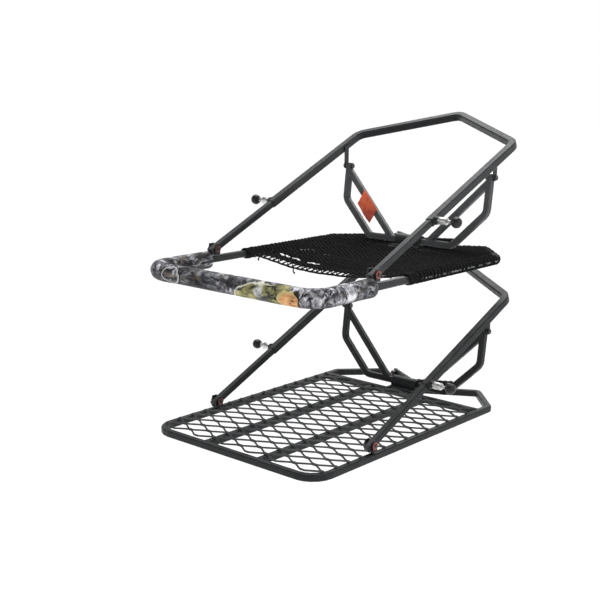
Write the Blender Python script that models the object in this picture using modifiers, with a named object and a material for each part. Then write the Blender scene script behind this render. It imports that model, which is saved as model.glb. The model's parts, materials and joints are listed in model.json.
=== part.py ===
"""Climbing tree stand: two square-tube sections that grip a tree, one above the other.

The lower section carries an expanded-metal foot deck, the upper one a net seat behind a padded
front bar.  On each section two inner arms hinge on the side rails and telescope into a V-shaped
bow that passes behind the tree.  Spring pins lock bow to arms, and a welded brace holds the bow up.

Units are metres.  +X is the stand's right, -Y its front and +Z up.  The origin is where the
platform's rear notch meets the tree, at half the height of the frame tube.
"""
import math

import bmesh
import bpy
from mathutils import Matrix, Vector

# ---- stock ----
TUBE = 0.0159              # square tube of the frames, braces and inner arms
STRUT_TUBE = 0.0155        # square tube of the straight struts
SLEEVE = 0.01905           # square tube of the bows
WALL = 0.0012              # wall of every tube
PLATE = 0.0025             # bracket plate
GAP = 0.0003               # clearance between touching pieces
TUBE_EDGE = 0.0022         # outer corner radius of the square tubes
DRAIN_R = 0.0025           # drain hole under a frame's front tube
ARC_STEP = math.radians(20)  # longest step along a bend

# ---- frame, seen from above ----
HALF_WIDTH = 0.246         # rail centre line from the middle plane
FRONT_Y = -0.659           # front tube centre line
REAR_BEND_Y = -0.010       # where the rails turn inward
HORN_X = 0.156             # rear corners beside the tree
HORN_Y = 0.081
NOTCH_ANGLE = math.radians(30)
FRONT_RADIUS = 0.048
BEND_RADIUS = 0.0125
CROSSBAR_Y = -0.054
SLAT_X = 0.082             # the two lengthwise bars under the deck
SEAT_HEIGHT = 0.375        # seat frame above platform frame

# ---- hinged arms and bow; distances run along the arm from its pivot ----
ARM_X = 0.240
PIVOT_Y = -0.469
PIVOT_Z = 0.0257
ARM_ANGLE = math.radians(24.5)
ARM_FRONT = -0.0145
ARM_END = 0.427
BOW_START = 0.2126
BOW_CORNER = 0.5855
BOW_APEX = 0.7192
BOW_RADIUS = 0.030
PIN_AT = 0.2246            # spring pin
PIN_PITCH = 0.0254         # spacing of the adjustment holes
PIN_HOLES = 5

# ---- brace: a bent tube and two struts, in one plane that hinges above the crossbar ----
BRACE_X = 0.2175
HINGE_Y = -0.022
HINGE_Z = 0.0205
BRACE_BOLT_Z = 0.192       # bolt height above the frame, straight above the origin line
BRACE_KNEE = 0.087         # along the brace, from the hinge
BRACE_FOOT_X = 0.129
STRUT_FOOT_X = 0.0574
BRACE_BEND_RADIUS = 0.026

# ---- fasteners ----
BOLT_R = 0.003
BOLT_HEAD_R = 0.0062
BOLT_HEAD = 0.0042
NUT = 0.004
WASHER_R = 0.0085
WASHER = 0.0015

# ---- spring pin, along the pin's axis from the middle plane ----
SLEEVE_FACE = ARM_X + SLEEVE / 2
BARREL_R = 0.0085
BARREL_BORE_R = 0.0052
BARREL_END = 0.279
COLLAR_R = 0.0046
COLLAR_END = 0.2560
KNOB_R = 0.0125
KNOB_X = 0.303
SPRING_R = 0.0043
SPRING_WIRE = 0.0007
SPRING_TURNS = 4

# ---- deck, net, padding ----
DECK_THICK = 0.003
DECK_LONG = 0.0805         # long way of a diamond, across the stand
DECK_SHORT = 0.0405        # short way, front to rear
STRAND = 0.0042
PAD_R = 0.021
PAD_END_Y = -0.485
NET_FRONT_Y = -0.359
NET_THICK = 0.004
LACE_R = 0.0145
LACE_START_Y = -0.330
LACE_END_Y = -0.064
LABEL = (0.066, 0.042, 0.001)

# ---- rear blade and hinge saddle ----
BLADE_THICK = 0.003
BLADE_HEIGHT = 0.018
BLADE_X = 0.096
BLADE_TEETH = 8
TOOTH = 0.006
SADDLE_HALF = 0.038
SADDLE_INNER_R = 0.012
SADDLE_REAR_Y = -0.0045

FRAME_TOP = TUBE / 2
DECK_BOTTOM = FRAME_TOP + GAP

COLORS = {
    "coat": ((0.035, 0.037, 0.040), 0.42, 0.35),
    "deck": ((0.040, 0.042, 0.044), 0.45, 0.35),
    "steel": ((0.72, 0.72, 0.70), 0.22, 1.0),
    "bolt": ((0.10, 0.10, 0.10), 0.40, 0.8),
    "knob": ((0.012, 0.012, 0.012), 0.25, 0.0),
    "washer": ((0.42, 0.06, 0.05), 0.50, 0.0),
    "net": ((0.012, 0.013, 0.013), 0.90, 0.0),
    "pad": ((0.26, 0.26, 0.24), 0.80, 0.0),
    "label": ((0.75, 0.10, 0.03), 0.45, 0.0),
}


# ---------------------------------------------------------------- scene helpers

def clear_scene():
    for obj in list(bpy.data.objects):
        bpy.data.objects.remove(obj, do_unlink=True)


def make_collection(name):
    coll = bpy.data.collections.new(name)
    bpy.context.scene.collection.children.link(coll)
    return coll


def finish_piece(obj, material, parent, matrix=None, smooth=None):
    """Name the material, hang the piece on its parent and set how it is shaded."""
    mat = bpy.data.materials.new(obj.name)
    mat.use_nodes = True
    color, rough, metal = COLORS[material]
    shader = mat.node_tree.nodes["Principled BSDF"]
    shader.inputs["Base Color"].default_value = (*color, 1.0)
    shader.inputs["Roughness"].default_value = rough
    shader.inputs["Metallic"].default_value = metal
    obj.data.materials.clear()
    obj.data.materials.append(mat)
    obj.parent = parent
    if matrix is not None:
        obj.matrix_local = matrix
    if smooth:
        obj.data.shade_smooth()
        obj.data.set_sharp_from_angle(angle=math.radians(smooth))
    PARTS.objects.link(obj)
    return obj


def empty(name, location, tilt=0.0, parent=None):
    obj = bpy.data.objects.new(name, None)
    obj.location = location
    obj.rotation_euler.x = tilt
    obj.parent = parent
    PARTS.objects.link(obj)
    return obj


def mesh_of(obj):
    """The evaluated mesh of a temporary object, welded, and the object removed."""
    SCRATCH.objects.link(obj)
    graph = bpy.context.evaluated_depsgraph_get()
    graph.update()
    mesh = bpy.data.meshes.new_from_object(obj.evaluated_get(graph))
    bpy.data.objects.remove(obj, do_unlink=True)
    bm = bmesh.new()
    bm.from_mesh(mesh)
    bmesh.ops.remove_doubles(bm, verts=bm.verts, dist=1e-6)
    bmesh.ops.recalc_face_normals(bm, faces=bm.faces)
    bm.to_mesh(mesh)
    bm.free()
    return mesh


def cylinder_cutter(name, radius, length, matrix, parent):
    """A drill along the local X axis."""
    bm = bmesh.new()
    turn = matrix @ Matrix.Rotation(math.radians(90), 4, "Y")
    bmesh.ops.create_cone(bm, cap_ends=True, segments=8, radius1=radius, radius2=radius,
                          depth=length, matrix=turn)
    mesh = bpy.data.meshes.new(name)
    bm.to_mesh(mesh)
    bm.free()
    obj = bpy.data.objects.new(name, mesh)
    obj.parent = parent
    obj.hide_render = True
    obj.display_type = "WIRE"
    CUTTERS.objects.link(obj)
    return obj


def cut(obj, cutter):
    mod = obj.modifiers.new("cut_" + cutter.name, "BOOLEAN")
    mod.operation = "DIFFERENCE"
    mod.solver = "EXACT"
    mod.object = cutter


# ---------------------------------------------------------------- outlines and sweeps

def rounded_path(corners):
    """Points of a path whose corners (x, y, radius) are rounded with arcs."""
    points = []
    for i, (x, y, radius) in enumerate(corners):
        here = Vector((x, y))
        if radius == 0:
            points.append(here)
            continue
        before = (Vector(corners[i - 1][:2]) - here).normalized()
        after = (Vector(corners[(i + 1) % len(corners)][:2]) - here).normalized()
        half = before.angle(after) / 2
        center = here + (before + after).normalized() * (radius / math.sin(half))
        start = here + before * (radius / math.tan(half)) - center
        sweep = math.pi - 2 * half
        if before.x * after.y - before.y * after.x > 0:
            sweep = -sweep
        steps = max(2, math.ceil(abs(sweep) / ARC_STEP))
        for k in range(steps + 1):
            turned = start.copy()
            turned.rotate(Matrix.Rotation(sweep * k / steps, 2))
            points.append(center + turned)
    return points


def mirrored(corners):
    """A path from right to left that mirrors the given right half, ends included."""
    return corners + [(-x, y, r) for x, y, r in reversed(corners) if x != 0]


def curve_object(name, loops, cyclic, dimensions="2D"):
    data = bpy.data.curves.new(name, "CURVE")
    data.dimensions = dimensions
    data.twist_mode = "Z_UP"
    for loop in loops:
        spline = data.splines.new("POLY")
        spline.points.add(len(loop) - 1)
        for point, (x, y) in zip(spline.points, loop):
            point.co = (x, y, 0.0, 1.0)
        spline.use_cyclic_u = cyclic
    return bpy.data.objects.new(name, data)


def square_loop(size, radius, steps=1):
    half = size / 2 - radius
    loop = []
    for k in range(4):
        sign_x = 1 if k in (0, 3) else -1
        sign_y = 1 if k in (0, 1) else -1
        for i in range(steps + 1):
            angle = math.radians(90) * (k + i / steps)
            loop.append((sign_x * half + radius * math.cos(angle),
                         sign_y * half + radius * math.sin(angle)))
    return loop


def round_loop(radius, sides=14):
    return [(radius * math.cos(math.tau * k / sides), radius * math.sin(math.tau * k / sides))
            for k in range(sides)]


def sweep_mesh(name, path, loop, caps, closed=False):
    """The skin of a section loop swept along a flat path."""
    profile = curve_object(name + "_profile", [loop], True)
    SCRATCH.objects.link(profile)
    obj = curve_object(name, [path], closed, "3D")
    obj.data.fill_mode = "FULL"
    obj.data.bevel_mode = "OBJECT"
    obj.data.bevel_object = profile
    obj.data.use_fill_caps = caps
    mesh = mesh_of(obj)
    bpy.data.objects.remove(profile, do_unlink=True)
    if not caps:
        point_outward(mesh, path)
    return mesh


def point_outward(mesh, path):
    """Flip an open skin whose faces look at its own path."""
    middle = Vector((*path[0], 0.0))
    face = min(mesh.polygons, key=lambda f: (f.center - middle).length)
    along = Vector((*(Vector(path[1]) - Vector(path[0])), 0.0)).normalized()
    spoke = face.center - middle
    spoke -= along * spoke.dot(along)
    if face.normal.dot(spoke) < 0:
        mesh.flip_normals()


def tube(name, corners, loop, wall, material, parent, matrix=None, closed=False):
    """A tube along a path of rounded corners, with open ends or joined into a ring."""
    path = rounded_path(corners)
    obj = bpy.data.objects.new(name, sweep_mesh(name, path, loop, False, closed))
    finish_piece(obj, material, parent, matrix, smooth=40)
    mod = obj.modifiers.new("wall", "SOLIDIFY")
    mod.thickness = wall
    mod.offset = -1
    mod.use_even_offset = True
    return obj


def plate(name, loops, thickness, material, parent, matrix):
    """A flat piece: an outline, any holes in it, and a thickness about its plane."""
    obj = curve_object(name, loops, True)
    obj.data.fill_mode = "BOTH"
    obj.data.extrude = thickness / 2
    solid = bpy.data.objects.new(name, mesh_of(obj))
    return finish_piece(solid, material, parent, matrix)


def turned(name, profile, material, parent, matrix, sides=12):
    """A turned piece about local X, from (radius, place) points; it closes on the axis or itself."""
    closed = profile[0][0] > 0
    data = bpy.data.meshes.new(name)
    verts = [(radius, 0.0, place) for radius, place in profile]
    edges = [(i, i + 1) for i in range(len(verts) - 1)]
    if closed:
        edges.append((len(verts) - 1, 0))
    data.from_pydata(verts, edges, [])
    obj = bpy.data.objects.new(name, data)
    mod = obj.modifiers.new("turn", "SCREW")
    mod.steps = sides
    mod.render_steps = sides
    mod.use_merge_vertices = True
    mod.merge_threshold = 0.00001
    solid = bpy.data.objects.new(name, mesh_of(obj))
    axis = Matrix.Rotation(math.radians(90), 4, "Y")
    return finish_piece(solid, material, parent, matrix @ axis, smooth=40)


def rotated(angle, axis):
    return Matrix.Rotation(math.radians(angle), 4, axis)


def moved(x, y, z):
    return Matrix.Translation((x, y, z))


# ---------------------------------------------------------------- one section's frame

def frame_corners():
    """Right half of the frame's centre line, from the front corner to the notch."""
    notch_y = HORN_Y - HORN_X * math.tan(NOTCH_ANGLE)
    return [(HALF_WIDTH, FRONT_Y, FRONT_RADIUS), (HALF_WIDTH, REAR_BEND_Y, BEND_RADIUS),
            (HORN_X, HORN_Y, BEND_RADIUS), (0, notch_y, BEND_RADIUS)]


def add_frame(prefix, section):
    """The closed ring of the frame, with a drain hole under its front tube."""
    ring = tube(prefix + "_frame", mirrored(frame_corners()), square_loop(TUBE, TUBE_EDGE), WALL,
                "coat", section, closed=True)
    drill = cylinder_cutter(prefix + "_drain_drill", DRAIN_R, TUBE,
                            moved(0, FRONT_Y, -TUBE / 2) @ rotated(90, "Y"), section)
    cut(ring, drill)


def straight_bar(name, start, end, section):
    tube(name, [(*start, 0), (*end, 0)], square_loop(TUBE, TUBE_EDGE), WALL, "coat", section)


def add_pivot_brackets(prefix, section):
    """U-shaped brackets on the rails; each arm turns between the two cheeks."""
    inner = TUBE / 2 + 0.001
    outer = inner + PLATE
    base = DECK_BOTTOM + DECK_THICK + GAP - PIVOT_Z
    top = 0.012
    floor = base + 0.0016
    outline = [(-outer, base), (outer, base), (outer, top), (inner, top), (inner, floor),
               (-inner, floor), (-inner, top), (-outer, top)]
    for side, sign in (("left", -1), ("right", 1)):
        place = moved(sign * ARM_X, PIVOT_Y, PIVOT_Z)
        obj = plate(f"{prefix}_pivot_bracket_{side}", [outline], 0.015, "coat", section,
                    place @ rotated(90, "X"))
        cutter = cylinder_cutter(f"{prefix}_pivot_drill_{side}", BOLT_R + GAP, 0.04, place, section)
        cut(obj, cutter)


def add_blade(prefix, section):
    """V-shaped strip that stands on the notch tubes, with teeth toward the tree."""
    slope = math.tan(NOTCH_ANGLE)
    front = HORN_Y - HORN_X * slope + 0.005
    rear = front + BLADE_THICK / math.cos(NOTCH_ANGLE)
    normal = Vector((-math.sin(NOTCH_ANGLE), math.cos(NOTCH_ANGLE)))
    half = [(0.0, front), (BLADE_X, front + BLADE_X * slope)]
    for k in range(BLADE_TEETH):
        root_x = BLADE_X * (1 - k / BLADE_TEETH)
        tip_x = BLADE_X * (1 - (k + 0.5) / BLADE_TEETH)
        half.append((root_x, rear + root_x * slope))
        half.append((tip_x + normal.x * TOOTH, rear + tip_x * slope + normal.y * TOOTH))
    outline = half + [(0.0, rear)] + [(-x, y) for x, y in reversed(half[1:])]
    plate(prefix + "_blade", [outline], BLADE_HEIGHT, "coat", section,
          moved(0, 0, DECK_BOTTOM + BLADE_HEIGHT / 2))


def add_saddle(prefix, section):
    """Strap over the brace's foot tube, which turns in it; it stands on crossbar and notch."""
    inner_r = SADDLE_INNER_R
    outer_r = inner_r + PLATE
    front = CROSSBAR_Y - HINGE_Y
    rear = SADDLE_REAR_Y - HINGE_Y
    level = DECK_BOTTOM - HINGE_Z

    def arc(radius, start, end, steps=10):
        return [(radius * math.cos(start + (end - start) * k / steps),
                 radius * math.sin(start + (end - start) * k / steps)) for k in range(steps + 1)]

    outline = [(rear, level), (rear, level + PLATE), (outer_r, level + PLATE)]
    outline += arc(outer_r, 0.0, math.pi)
    outline += [(-outer_r, level + PLATE), (front, level + PLATE), (front, level),
                (-inner_r, level)]
    outline += arc(inner_r, math.pi, 0.0) + [(inner_r, level)]
    turn = rotated(90, "Z") @ rotated(90, "X")
    plate(prefix + "_brace_saddle", [outline], 2 * SADDLE_HALF, "coat", section,
          moved(0, HINGE_Y, HINGE_Z) @ turn)


# ---------------------------------------------------------------- arms, bow and brace

def brace_line():
    """Length and tilt of the line from the brace's hinge to its bolt."""
    rise = Vector((-HINGE_Y, BRACE_BOLT_Z - HINGE_Z))
    return rise.length, math.atan2(rise.y, rise.x)


def bolt_on_arm():
    """Where the brace's bolt lies on the bow: along the arm and off its centre line."""
    reach = Vector((-PIVOT_Y, BRACE_BOLT_Z - PIVOT_Z))
    along = reach.x * math.cos(ARM_ANGLE) + reach.y * math.sin(ARM_ANGLE)
    across = reach.y * math.cos(ARM_ANGLE) - reach.x * math.sin(ARM_ANGLE)
    return along, across


def head_profile(start, end):
    """Bolt head that sits at start, and its shank to end."""
    return [(0.0, start + BOLT_HEAD), (BOLT_HEAD_R * 0.8, start + BOLT_HEAD),
            (BOLT_HEAD_R, start + BOLT_HEAD * 0.6), (BOLT_HEAD_R, start), (BOLT_R, start),
            (BOLT_R, end), (0.0, end)]


def bolt_profile(length):
    """Head, shank and nut of a bolt whose grip runs from zero to length."""
    nut = [(BOLT_R, 0.0), (BOLT_HEAD_R, 0.0), (BOLT_HEAD_R, -NUT), (BOLT_R, -NUT),
           (BOLT_R, -NUT * 1.5), (0.0, -NUT * 1.5)]
    return head_profile(length, 0.0)[:-2] + nut


def add_arms(prefix, arm_axis, section):
    grip = TUBE / 2 + 0.001 + PLATE
    for side, sign in (("left", -1), ("right", 1)):
        x = sign * ARM_X
        arm = tube(f"{prefix}_inner_arm_{side}", [(x, ARM_FRONT, 0), (x, ARM_END, 0)],
                   square_loop(TUBE, TUBE_EDGE), WALL, "coat", arm_axis)
        drill = cylinder_cutter(f"{prefix}_arm_drill_{side}", BOLT_R + GAP, 0.03,
                                moved(x, 0, 0), arm_axis)
        cut(arm, drill)
        for k in range(PIN_HOLES):
            place = moved(x + sign * TUBE / 2, PIN_AT + k * PIN_PITCH, 0)
            hole = cylinder_cutter(f"{prefix}_pin_hole_{side}_{k}", 0.0034, TUBE / 2, place,
                                   arm_axis)
            cut(arm, hole)
        pivot = moved(x, PIVOT_Y, PIVOT_Z)
        length = 2 * grip + WASHER + 3 * GAP
        turned(f"{prefix}_pivot_bolt_{side}", bolt_profile(length), "bolt", section,
               pivot @ moved(-grip - GAP, 0, 0))
        ring = [(WASHER_R, WASHER), (WASHER_R, 0.0), (BOLT_R + GAP, 0.0), (BOLT_R + GAP, WASHER)]
        turned(f"{prefix}_pivot_washer_{side}", ring, "washer", section,
               pivot @ moved(grip + GAP, 0, 0))


def add_bow(prefix, arm_axis):
    half = [(ARM_X, BOW_START, 0), (ARM_X, BOW_CORNER, BOW_RADIUS), (0, BOW_APEX, BOW_RADIUS)]
    bow = tube(prefix + "_bow", mirrored(half), square_loop(SLEEVE, TUBE_EDGE), WALL, "coat",
               arm_axis)
    for side, sign in (("left", -1), ("right", 1)):
        hole = cylinder_cutter(f"{prefix}_bow_drill_{side}", BOLT_R + GAP, 0.004,
                               moved(sign * SLEEVE_FACE, PIN_AT, 0), arm_axis)
        cut(bow, hole)


def add_bow_brackets(prefix, arm_axis):
    """Ears on the bow's inner faces that carry the brace's bolts, and the bolts."""
    along, across = bolt_on_arm()
    top = 0.004
    half = 0.0082
    lean = (top - across) * math.tan(ARM_ANGLE)
    grip = PLATE / 2 + GAP
    for side, sign in (("left", -1), ("right", 1)):
        center = Vector((along, across))
        arc = [(center.x + half * math.cos(a), center.y + half * math.sin(a))
               for a in [-math.pi * k / 8 for k in range(9)]]
        outline = [(along + lean - half, top), (along + lean + half, top)] + arc
        x = sign * (ARM_X - SLEEVE / 2 - GAP - PLATE / 2)
        ear = plate(f"{prefix}_brace_ear_{side}", [outline], PLATE, "coat", arm_axis,
                    moved(x, 0, 0) @ rotated(90, "Z") @ rotated(90, "X"))
        place = moved(x, along, across)
        drill = cylinder_cutter(f"{prefix}_ear_drill_{side}", BOLT_R + GAP, 0.02, place, arm_axis)
        cut(ear, drill)
        turn = rotated(0 if sign > 0 else 180, "Z")
        turned(f"{prefix}_brace_bolt_{side}", head_profile(grip, -grip), "bolt", arm_axis,
               place @ turn)


def add_brace(prefix, hinge):
    """The bent tube and its two struts as one hollow weldment."""
    length, _ = brace_line()
    top = length + TUBE / 2
    bent = [(BRACE_X, top, 0), (BRACE_X, BRACE_KNEE, BRACE_BEND_RADIUS),
            (BRACE_FOOT_X, 0, BRACE_BEND_RADIUS)]
    bore = TUBE - 2 * WALL
    strut_bore = STRUT_TUBE - 2 * WALL
    strut_top = (BRACE_X - 0.002, length - 0.012)
    strut_foot = (STRUT_FOOT_X, 0.002)

    def skin(name, corners, size, edge):
        mesh = sweep_mesh(name, rounded_path(corners), square_loop(size, edge), True)
        return bpy.data.objects.new(name, mesh)

    obj = skin(prefix + "_brace", mirrored(bent), TUBE, TUBE_EDGE)
    finish_piece(obj, "coat", hinge, smooth=40)
    open_bent = [(BRACE_X, top + 0.004, 0)] + bent[1:]
    voids = [skin(prefix + "_bent_bore", mirrored(open_bent), bore, 0.0006)]
    struts = []
    for side, sign in (("left", -1), ("right", 1)):
        ends = [(sign * strut_top[0], strut_top[1], 0), (sign * strut_foot[0], strut_foot[1], 0)]
        struts.append(skin(f"{prefix}_strut_{side}", ends, STRUT_TUBE, TUBE_EDGE))
        voids.append(skin(f"{prefix}_strut_bore_{side}", ends, strut_bore, 0.0006))
    for index, part in enumerate(struts + voids):
        part.parent = hinge
        part.hide_render = True
        part.display_type = "WIRE"
        CUTTERS.objects.link(part)
        mod = obj.modifiers.new(f"weld_{index}", "BOOLEAN")
        mod.operation = "UNION" if index < len(struts) else "DIFFERENCE"
        mod.solver = "EXACT"
        mod.object = part


# ---------------------------------------------------------------- spring pins

def spring_path():
    """Points of the coil, from the collar to the barrel's end wall."""
    start = COLLAR_END + SPRING_WIRE + GAP
    end = BARREL_END - 0.003 - SPRING_WIRE - GAP
    count = SPRING_TURNS * 7
    points = []
    for k in range(count + 1):
        angle = math.tau * SPRING_TURNS * k / count
        points.append((start + (end - start) * k / count, SPRING_R * math.cos(angle),
                       SPRING_R * math.sin(angle)))
    return points


def add_spring(name, sign, pin_axis):
    data = bpy.data.curves.new(name, "CURVE")
    data.dimensions = "3D"
    data.bevel_depth = SPRING_WIRE / 2
    data.bevel_resolution = 0
    data.use_fill_caps = True
    spline = data.splines.new("POLY")
    points = spring_path()
    spline.points.add(len(points) - 1)
    for point, (x, y, z) in zip(spline.points, points):
        point.co = (sign * x, y, z, 1.0)
    solid = bpy.data.objects.new(name, mesh_of(bpy.data.objects.new(name, data)))
    finish_piece(solid, "steel", pin_axis, smooth=60)


def add_spring_pins(prefix, arm_axis):
    """Barrel on the bow, with a ball-ended pin and its spring inside."""
    face = SLEEVE_FACE + GAP
    barrel = [(BARREL_R + 0.0015, face + 0.006), (BARREL_R + 0.0015, face),
              (BARREL_BORE_R, face), (BARREL_BORE_R, BARREL_END - 0.003),
              (BOLT_R + GAP, BARREL_END - 0.003), (BOLT_R + GAP, BARREL_END),
              (BARREL_R - 0.001, BARREL_END), (BARREL_R, BARREL_END - 0.001),
              (BARREL_R, face + 0.006)]
    neck = KNOB_X - 0.004
    tip = ARM_X + SLEEVE / 2 - WALL + 0.00005
    pin = [(0.0, neck), (BOLT_R, neck), (BOLT_R, COLLAR_END), (COLLAR_R, COLLAR_END),
           (COLLAR_R, COLLAR_END - 0.0035), (BOLT_R, COLLAR_END - 0.0035), (BOLT_R, tip), (0.0, tip)]
    base = KNOB_X - KNOB_R + 0.001
    start = math.asin((base - KNOB_X) / KNOB_R)
    ball = [(KNOB_R * math.cos(a), KNOB_X + KNOB_R * math.sin(a))
            for a in [math.pi / 2 + (start - math.pi / 2) * k / 6 for k in range(7)]]
    ball[0] = (0.0, ball[0][1])
    ball += [(BOLT_R + GAP, base), (BOLT_R + GAP, neck + GAP), (0.0, neck + GAP)]
    for side, sign in (("left", -1), ("right", 1)):
        place = empty(f"{prefix}_pin_axis_{side}", (0, PIN_AT, 0), parent=arm_axis)
        turn = rotated(0 if sign > 0 else 180, "Z")
        turned(f"{prefix}_pin_barrel_{side}", barrel, "steel", place, turn)
        turned(f"{prefix}_pull_pin_{side}", pin, "steel", place, turn)
        turned(f"{prefix}_pin_knob_{side}", ball, "knob", place, turn)
        add_spring(f"{prefix}_pin_spring_{side}", sign, place)


# ---------------------------------------------------------------- deck, net, pad and label

def deck_loops():
    """The deck's outline and the diamonds cut out of it."""
    half = HALF_WIDTH - 0.002
    front = FRONT_Y + 0.002
    rear = CROSSBAR_Y - 0.001
    corner = FRONT_RADIUS - 0.002
    outline = rounded_path([(half, rear, 0), (half, front, corner), (-half, front, corner),
                            (-half, rear, 0)])
    loops = [outline]
    rows = round((rear - front) / (DECK_SHORT / 2)) - 1
    start = front + (rear - front - (rows - 1) * DECK_SHORT / 2) / 2
    border = TUBE / 2
    for row in range(rows):
        y = start + row * DECK_SHORT / 2
        count = 6 if row % 2 else 5
        for k in range(count):
            x = (k - (count - 1) / 2) * DECK_LONG
            reach_x = DECK_LONG / 2 - STRAND * 1.9
            reach_y = DECK_SHORT / 2 - STRAND
            low = min(reach_y, y - front - border)
            high = min(reach_y, rear - border - y)
            if low <= 0.003 or high <= 0.003:
                continue
            wide = half - border - abs(x)
            loops.append([(x + min(reach_x, wide), y), (x, y + high), (x - min(reach_x, wide), y),
                          (x, y - low)])
    return loops


def add_deck(section):
    plate("platform_deck", deck_loops(), DECK_THICK, "deck", section,
          moved(0, 0, DECK_BOTTOM + DECK_THICK / 2))


def add_net(section):
    """A flat net between the rails, from its front hem to the crossbar."""
    side = HALF_WIDTH - LACE_R - 0.001
    rear = CROSSBAR_Y - TUBE / 2 - 0.001
    outline = [(side, NET_FRONT_Y), (side, rear), (-side, rear), (-side, NET_FRONT_Y)]
    plate("seat_net", [outline], NET_THICK, "net", section, moved(0, 0, 0))


def add_lacing(section):
    for side, sign in (("left", -1), ("right", 1)):
        ends = [(sign * HALF_WIDTH, LACE_START_Y, 0), (sign * HALF_WIDTH, LACE_END_Y, 0)]
        tube(f"seat_lacing_{side}", ends, round_loop(LACE_R), 0.0022, "net", section)


def add_seat_pad(section):
    corners = [(HALF_WIDTH, PAD_END_Y, 0), (HALF_WIDTH, FRONT_Y, FRONT_RADIUS),
               (-HALF_WIDTH, FRONT_Y, FRONT_RADIUS), (-HALF_WIDTH, PAD_END_Y, 0)]
    tube("seat_bar_pad", corners, round_loop(PAD_R), PAD_R - 0.0118, "pad", section)


def add_label(hinge):
    """Blank label on the front of the left strut, hanging below it."""
    length, _ = brace_line()
    top = Vector((-(BRACE_X - 0.002), length - 0.012))
    foot = Vector((-STRUT_FOOT_X, 0.002))
    run = (foot - top).normalized()
    across = Vector((run.y, -run.x))
    middle = top + run * 0.111 + across * 0.012
    width, height, thick = LABEL
    angle = math.atan2(run.y, run.x)
    outline = [(-width / 2, -height / 2), (width / 2, -height / 2), (width / 2, height / 2),
               (-width / 2, height / 2)]
    plate("blank_label", [outline], thick, "label", hinge,
          moved(middle.x, middle.y, TUBE / 2 + GAP + thick / 2)
          @ Matrix.Rotation(angle, 4, "Z"))


# ---------------------------------------------------------------- assembly

def add_section(prefix, height):
    section = empty(prefix + "_origin", (0, 0, height))
    arm_axis = empty(prefix + "_arm_axis", (0, PIVOT_Y, PIVOT_Z), ARM_ANGLE, section)
    _, tilt = brace_line()
    hinge = empty(prefix + "_brace_axis", (0, HINGE_Y, HINGE_Z), tilt, section)
    add_frame(prefix, section)
    reach = HALF_WIDTH - TUBE / 2 - GAP
    straight_bar(prefix + "_crossbar", (-reach, CROSSBAR_Y), (reach, CROSSBAR_Y), section)
    add_pivot_brackets(prefix, section)
    add_blade(prefix, section)
    add_saddle(prefix, section)
    add_arms(prefix, arm_axis, section)
    add_bow(prefix, arm_axis)
    add_bow_brackets(prefix, arm_axis)
    add_brace(prefix, hinge)
    add_spring_pins(prefix, arm_axis)
    return section, hinge


def add_platform():
    section, _ = add_section("platform", 0.0)
    front = FRONT_Y + TUBE / 2 + GAP
    rear = CROSSBAR_Y - TUBE / 2 - GAP
    for side, sign in (("left", -1), ("right", 1)):
        straight_bar(f"platform_slat_{side}", (sign * SLAT_X, front), (sign * SLAT_X, rear),
                     section)
    add_deck(section)


def add_seat():
    section, hinge = add_section("seat", SEAT_HEIGHT)
    add_net(section)
    add_lacing(section)
    add_seat_pad(section)
    add_label(hinge)


clear_scene()
PARTS = make_collection("climbing_tree_stand")
CUTTERS = make_collection("cutters")
SCRATCH = bpy.context.scene.collection
add_platform()
add_seat()
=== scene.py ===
"""Looks of the climbing tree stand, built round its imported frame."""
import json
import math

import bmesh
import bpy
from mathutils import Matrix, Vector, noise


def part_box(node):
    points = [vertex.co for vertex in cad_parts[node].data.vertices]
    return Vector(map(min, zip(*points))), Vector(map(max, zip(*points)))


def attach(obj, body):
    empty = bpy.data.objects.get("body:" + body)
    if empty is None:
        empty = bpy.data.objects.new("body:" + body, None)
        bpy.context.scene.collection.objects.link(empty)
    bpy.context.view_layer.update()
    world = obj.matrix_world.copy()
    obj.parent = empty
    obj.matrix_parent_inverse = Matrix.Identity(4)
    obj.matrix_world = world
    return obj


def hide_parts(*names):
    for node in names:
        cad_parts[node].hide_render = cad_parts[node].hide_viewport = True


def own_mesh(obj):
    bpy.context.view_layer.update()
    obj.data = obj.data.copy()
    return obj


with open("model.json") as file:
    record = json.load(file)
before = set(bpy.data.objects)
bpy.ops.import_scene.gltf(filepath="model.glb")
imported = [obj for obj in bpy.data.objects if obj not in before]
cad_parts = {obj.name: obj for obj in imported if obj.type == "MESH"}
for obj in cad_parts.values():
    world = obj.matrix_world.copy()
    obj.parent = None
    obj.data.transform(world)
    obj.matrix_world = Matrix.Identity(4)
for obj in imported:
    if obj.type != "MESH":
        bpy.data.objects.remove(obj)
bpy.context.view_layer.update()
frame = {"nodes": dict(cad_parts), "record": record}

# ---- camera, in the stand's frame ----
TARGET = Vector((0.0187, -0.3262, 0.1992))
AZIMUTH = math.radians(40.27)
ELEVATION = math.radians(14.07)
ROLL = math.radians(0.53)
DISTANCE = 2.525
LENS = 64.44
SHIFT = (-0.061, 0.064)
FLOOR_Z = -1.5

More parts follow.
